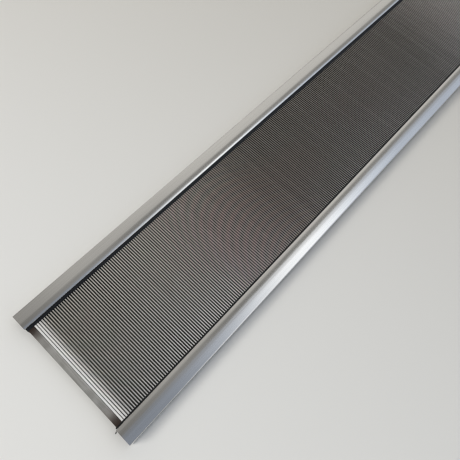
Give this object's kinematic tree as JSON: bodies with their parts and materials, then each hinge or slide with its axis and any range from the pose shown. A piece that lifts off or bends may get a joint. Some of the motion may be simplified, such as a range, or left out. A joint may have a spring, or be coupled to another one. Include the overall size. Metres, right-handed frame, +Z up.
{
  "type": "weaving reed",
  "caption": "Metal weaving reed lying flat: a row of flat steel dents held at both ends in crowned aluminium baulks, closed by a flat bar at each end.",
  "frame": {"origin": "under the middle of the reed, on the surface it lies on", "axes": "+X along the baulks, +Y across the opening from the right baulk to the left one, +Z up through the reed's depth"},
  "size_m": [0.705, 0.1284, 0.0135],
  "materials": {
    "baulk_aluminium": "satin extruded",
    "dent_steel": "rolled and polished edges",
    "end_bar_steel": "dull rolled",
    "binding_steel": "drawn wire",
    "black_resin": "cast, slightly glossy"
  },
  "bodies": {
    "root": {"baulk_left": "baulk_aluminium", "baulk_right": "baulk_aluminium", "resin_front_left": "black_resin", "resin_front_right": "black_resin", "resin_back_left": "black_resin", "resin_back_right": "black_resin", "resin_plugs": "black_resin", "end_bar_near": "end_bar_steel", "end_bar_far": "end_bar_steel", "core_rod_left_upper": "binding_steel", "core_rod_left_lower": "binding_steel", "core_rod_right_upper": "binding_steel", "core_rod_right_lower": "binding_steel", "wire_tail_near": "binding_steel", "wire_tail_far": "binding_steel", "guard_dents_near": "dent_steel", "guard_dents_far": "dent_steel", "coil_left_upper_1": "binding_steel", "coil_left_upper_2": "binding_steel", "coil_left_upper_3": "binding_steel", "coil_left_upper_4": "binding_steel", "coil_left_lower_1": "binding_steel", "coil_left_lower_2": "binding_steel", "coil_left_lower_3": "binding_steel", "coil_left_lower_4": "binding_steel", "coil_right_upper_1": "binding_steel", "coil_right_upper_2": "binding_steel", "coil_right_upper_3": "binding_steel", "coil_right_upper_4": "binding_steel", "coil_right_lower_1": "binding_steel", "coil_right_lower_2": "binding_steel", "coil_right_lower_3": "binding_steel", "coil_right_lower_4": "binding_steel", "dents_01": "dent_steel", "dents_02": "dent_steel", "dents_03": "dent_steel", "dents_04": "dent_steel", "dents_05": "dent_steel", "dents_06": "dent_steel", "dents_07": "dent_steel", "dents_08": "dent_steel", "dents_09": "dent_steel", "dents_10": "dent_steel", "dents_11": "dent_steel", "dents_12": "dent_steel", "dents_13": "dent_steel", "dents_14": "dent_steel", "dents_15": "dent_steel", "dents_16": "dent_steel", "dents_17": "dent_steel", "dents_18": "dent_steel", "dents_19": "dent_steel", "dents_20": "dent_steel"}
  },
  "joints": []
}
